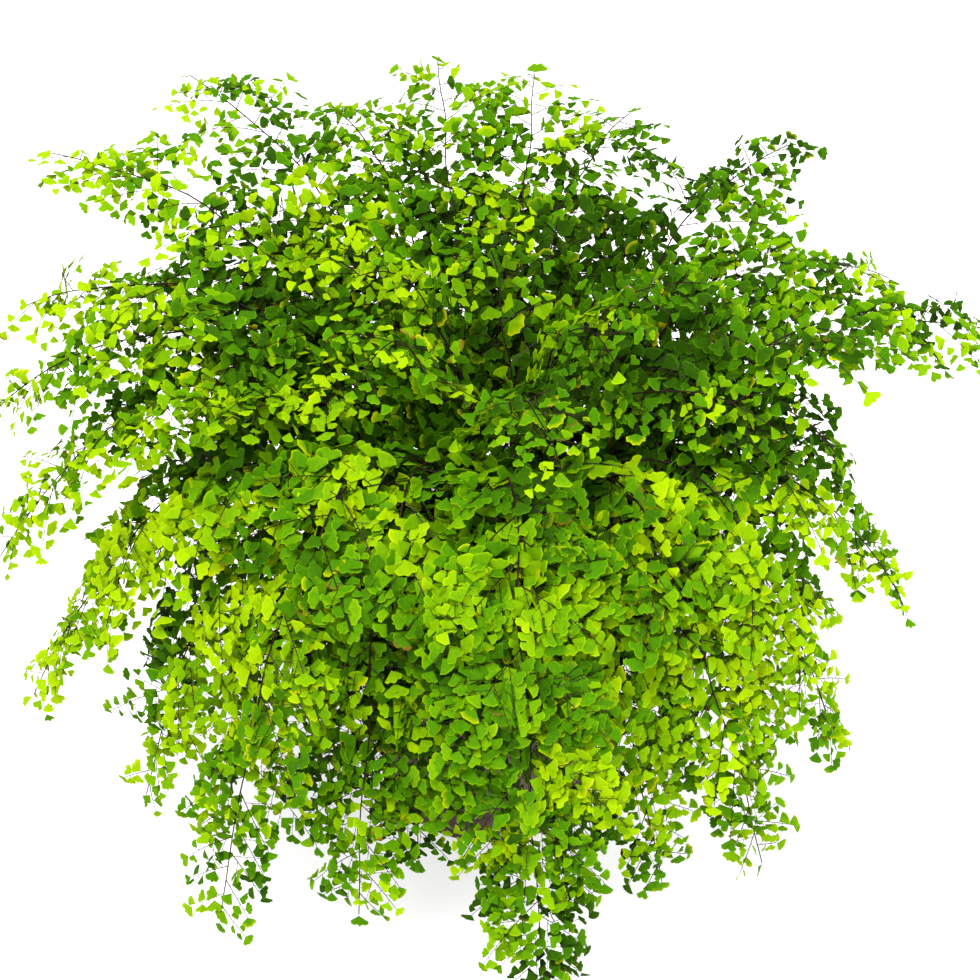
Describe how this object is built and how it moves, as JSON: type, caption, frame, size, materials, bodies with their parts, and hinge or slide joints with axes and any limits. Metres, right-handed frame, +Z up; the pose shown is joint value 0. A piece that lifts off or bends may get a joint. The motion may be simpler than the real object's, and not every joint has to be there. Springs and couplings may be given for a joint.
{
  "type": "potted maidenhair fern",
  "caption": "Small fern with arching wiry fronds of fan-shaped leaflets, growing from soil in a plain tapered clay pot",
  "frame": {"origin": "Centre of the pot's underside, where it stands on the floor", "axes": "+Z is up along the pot's axis; +Y points to the back of the plant and +X to its right, as the picture sees it from the front and above"},
  "size_m": [0.4984, 0.396, 0.3269],
  "materials": {
    "clay": "matte",
    "soil": "matte",
    "leaf": "satin",
    "stalk": "satin"
  },
  "bodies": {
    "root": {"pot": "clay", "soil": "soil", "outer_frond_01": "leaf", "outer_frond_02": "leaf", "outer_frond_03": "leaf", "outer_frond_04": "leaf", "outer_frond_05": "leaf", "outer_frond_06": "leaf", "outer_frond_07": "leaf", "outer_frond_08": "leaf", "outer_frond_09": "leaf", "outer_frond_10": "leaf", "outer_frond_11": "leaf", "outer_frond_12": "leaf", "outer_frond_13": "leaf", "outer_frond_14": "leaf", "outer_frond_15": "leaf", "outer_frond_16": "leaf", "outer_frond_17": "leaf", "outer_frond_18": "leaf", "outer_frond_19": "leaf", "outer_frond_20": "leaf", "outer_frond_21": "leaf", "outer_frond_22": "leaf", "hanging_frond_01": "leaf", "hanging_frond_02": "leaf", "hanging_frond_03": "leaf", "hanging_frond_04": "leaf", "hanging_frond_05": "leaf", "hanging_frond_06": "leaf", "hanging_frond_07": "leaf", "hanging_frond_08": "leaf", "hanging_frond_09": "leaf", "hanging_frond_10": "leaf", "hanging_frond_11": "leaf", "hanging_frond_12": "leaf", "hanging_frond_13": "leaf", "inner_frond_01": "leaf", "inner_frond_02": "leaf", "inner_frond_03": "leaf", "inner_frond_04": "leaf", "inner_frond_05": "leaf", "inner_frond_06": "leaf", "inner_frond_07": "leaf", "inner_frond_08": "leaf", "inner_frond_09": "leaf", "inner_frond_10": "leaf"}
  },
  "joints": []
}
